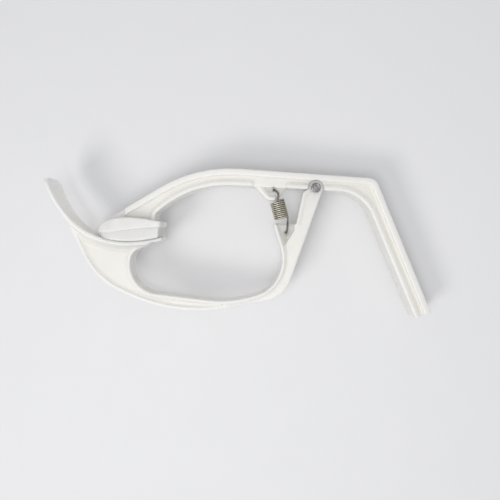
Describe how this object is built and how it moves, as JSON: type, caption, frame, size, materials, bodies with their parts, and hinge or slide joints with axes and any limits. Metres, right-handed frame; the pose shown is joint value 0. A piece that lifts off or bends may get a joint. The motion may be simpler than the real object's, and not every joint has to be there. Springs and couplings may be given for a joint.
{
  "type": "sock aid",
  "caption": "One-handed spring-closed gripping tongs for pulling on socks: crossed moulded levers with spoon-like jaws, a finger loop and an angled handle.",
  "frame": {"origin": "centre of the hollow pivot rivet, in the middle plane of both levers", "axes": "+Z along the rivet's axis, +X from the jaws towards the handle, +Y out of the back of the upper lever; the tool lies on its side"},
  "size_m": [0.2831, 0.1102, 0.037],
  "materials": {
    "upper_lever": "warm white moulded plastic, satin",
    "lower_lever": "warm white moulded plastic, satin",
    "pivot_rivet": "nickel-plated steel",
    "extension_spring": "bright drawn spring steel"
  },
  "bodies": {
    "upper": {"upper_lever": "upper_lever", "extension_spring": "extension_spring"},
    "lower": {"lower_lever": "lower_lever", "pivot_rivet": "pivot_rivet"}
  },
  "joints": [
    {"name": "squeeze", "type": "hinge", "parent": "upper", "child": "lower", "pos_m": [0, 0, 0], "axis": [0, 0, 1], "range_deg": [0, 28], "stiffness_Nm_per_rad": 3.5, "springref_deg": -4.01, "deforming": ["extension_spring"]}
  ]
}
